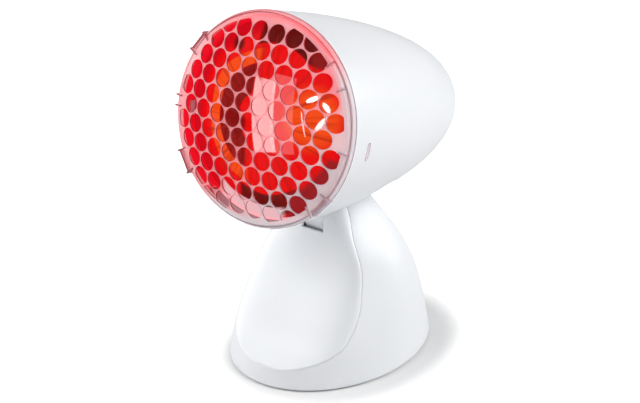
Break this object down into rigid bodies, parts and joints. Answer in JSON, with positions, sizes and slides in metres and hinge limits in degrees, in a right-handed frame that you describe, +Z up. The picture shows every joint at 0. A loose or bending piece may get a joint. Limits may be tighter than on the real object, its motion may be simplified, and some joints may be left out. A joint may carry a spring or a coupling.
{
  "type": "infrared heat therapy lamp",
  "caption": "Table lamp with an infrared bulb in a bullet-shaped head behind a domed round-hole guard, tilting on a pear-shaped base with a rocker switch.",
  "frame": {"origin": "on the table, under the middle of the whole lamp", "axes": "+Z up, the lamp shines towards -Y, X across"},
  "size_m": [0.1322, 0.2114, 0.246],
  "materials": {
    "white_plastic": "gloss",
    "grey_plastic": "matte",
    "clear_plastic": "clear, polished",
    "red_glass": "red stained glass",
    "clear_glass": "clear",
    "brass": "satin",
    "steel": "zinc plated",
    "aluminium": "satin",
    "ceramic": "unglazed",
    "wire_cover": "matte",
    "rubber": "matte",
    "black_plastic": "satin"
  },
  "bodies": {
    "base": {"base_rear_shell": "white_plastic", "base_front_cover": "white_plastic", "base_plate": "grey_plastic", "neck_fork": "steel", "hinge_pin": "steel", "hinge_nut": "steel", "detent_disc": "steel", "friction_washer": "steel", "cable_bush": "rubber", "terminal_block": "ceramic", "cord_clamp": "grey_plastic", "base_lead": "wire_cover", "fork_post_left": "steel", "fork_post_right": "steel", "fork_screw_left": "steel", "fork_screw_right": "steel", "post_screw_left": "steel", "post_screw_right": "steel", "switch_housing": "black_plastic", "foot_front_left": "rubber", "foot_front_right": "rubber", "foot_back_left": "rubber", "foot_back_right": "rubber", "plate_screw_front_left": "steel", "plate_screw_front_right": "steel", "plate_screw_back_left": "steel", "plate_screw_back_right": "steel"},
    "rocker": {"switch_rocker": "black_plastic"},
    "head": {"head_housing": "white_plastic", "front_grille": "clear_plastic", "bulb_reflector": "red_glass", "bulb_lens": "red_glass", "bulb_cap": "brass", "bulb_contact": "brass", "bulb_stem": "clear_glass", "bulb_filament": "steel", "holder_body": "ceramic", "holder_sleeve": "brass", "holder_contact": "brass", "holder_bracket": "steel", "bracket_screw_left": "steel", "bracket_screw_right": "steel", "heat_shield": "aluminium", "head_tongue": "grey_plastic", "tongue_screw_left": "steel", "tongue_screw_right": "steel", "head_lead": "wire_cover"}
  },
  "joints": [
    {"name": "head_tilt", "type": "hinge", "parent": "base", "child": "head", "pos_m": [0, -0.00898, 0.096], "axis": [1, 0, 0], "range_deg": [-10, 14]},
    {"name": "switch_throw", "type": "hinge", "parent": "base", "child": "rocker", "pos_m": [0, 0.04835, 0.04332], "axis": [1, 0, 0], "range_deg": [-16, 0]}
  ]
}
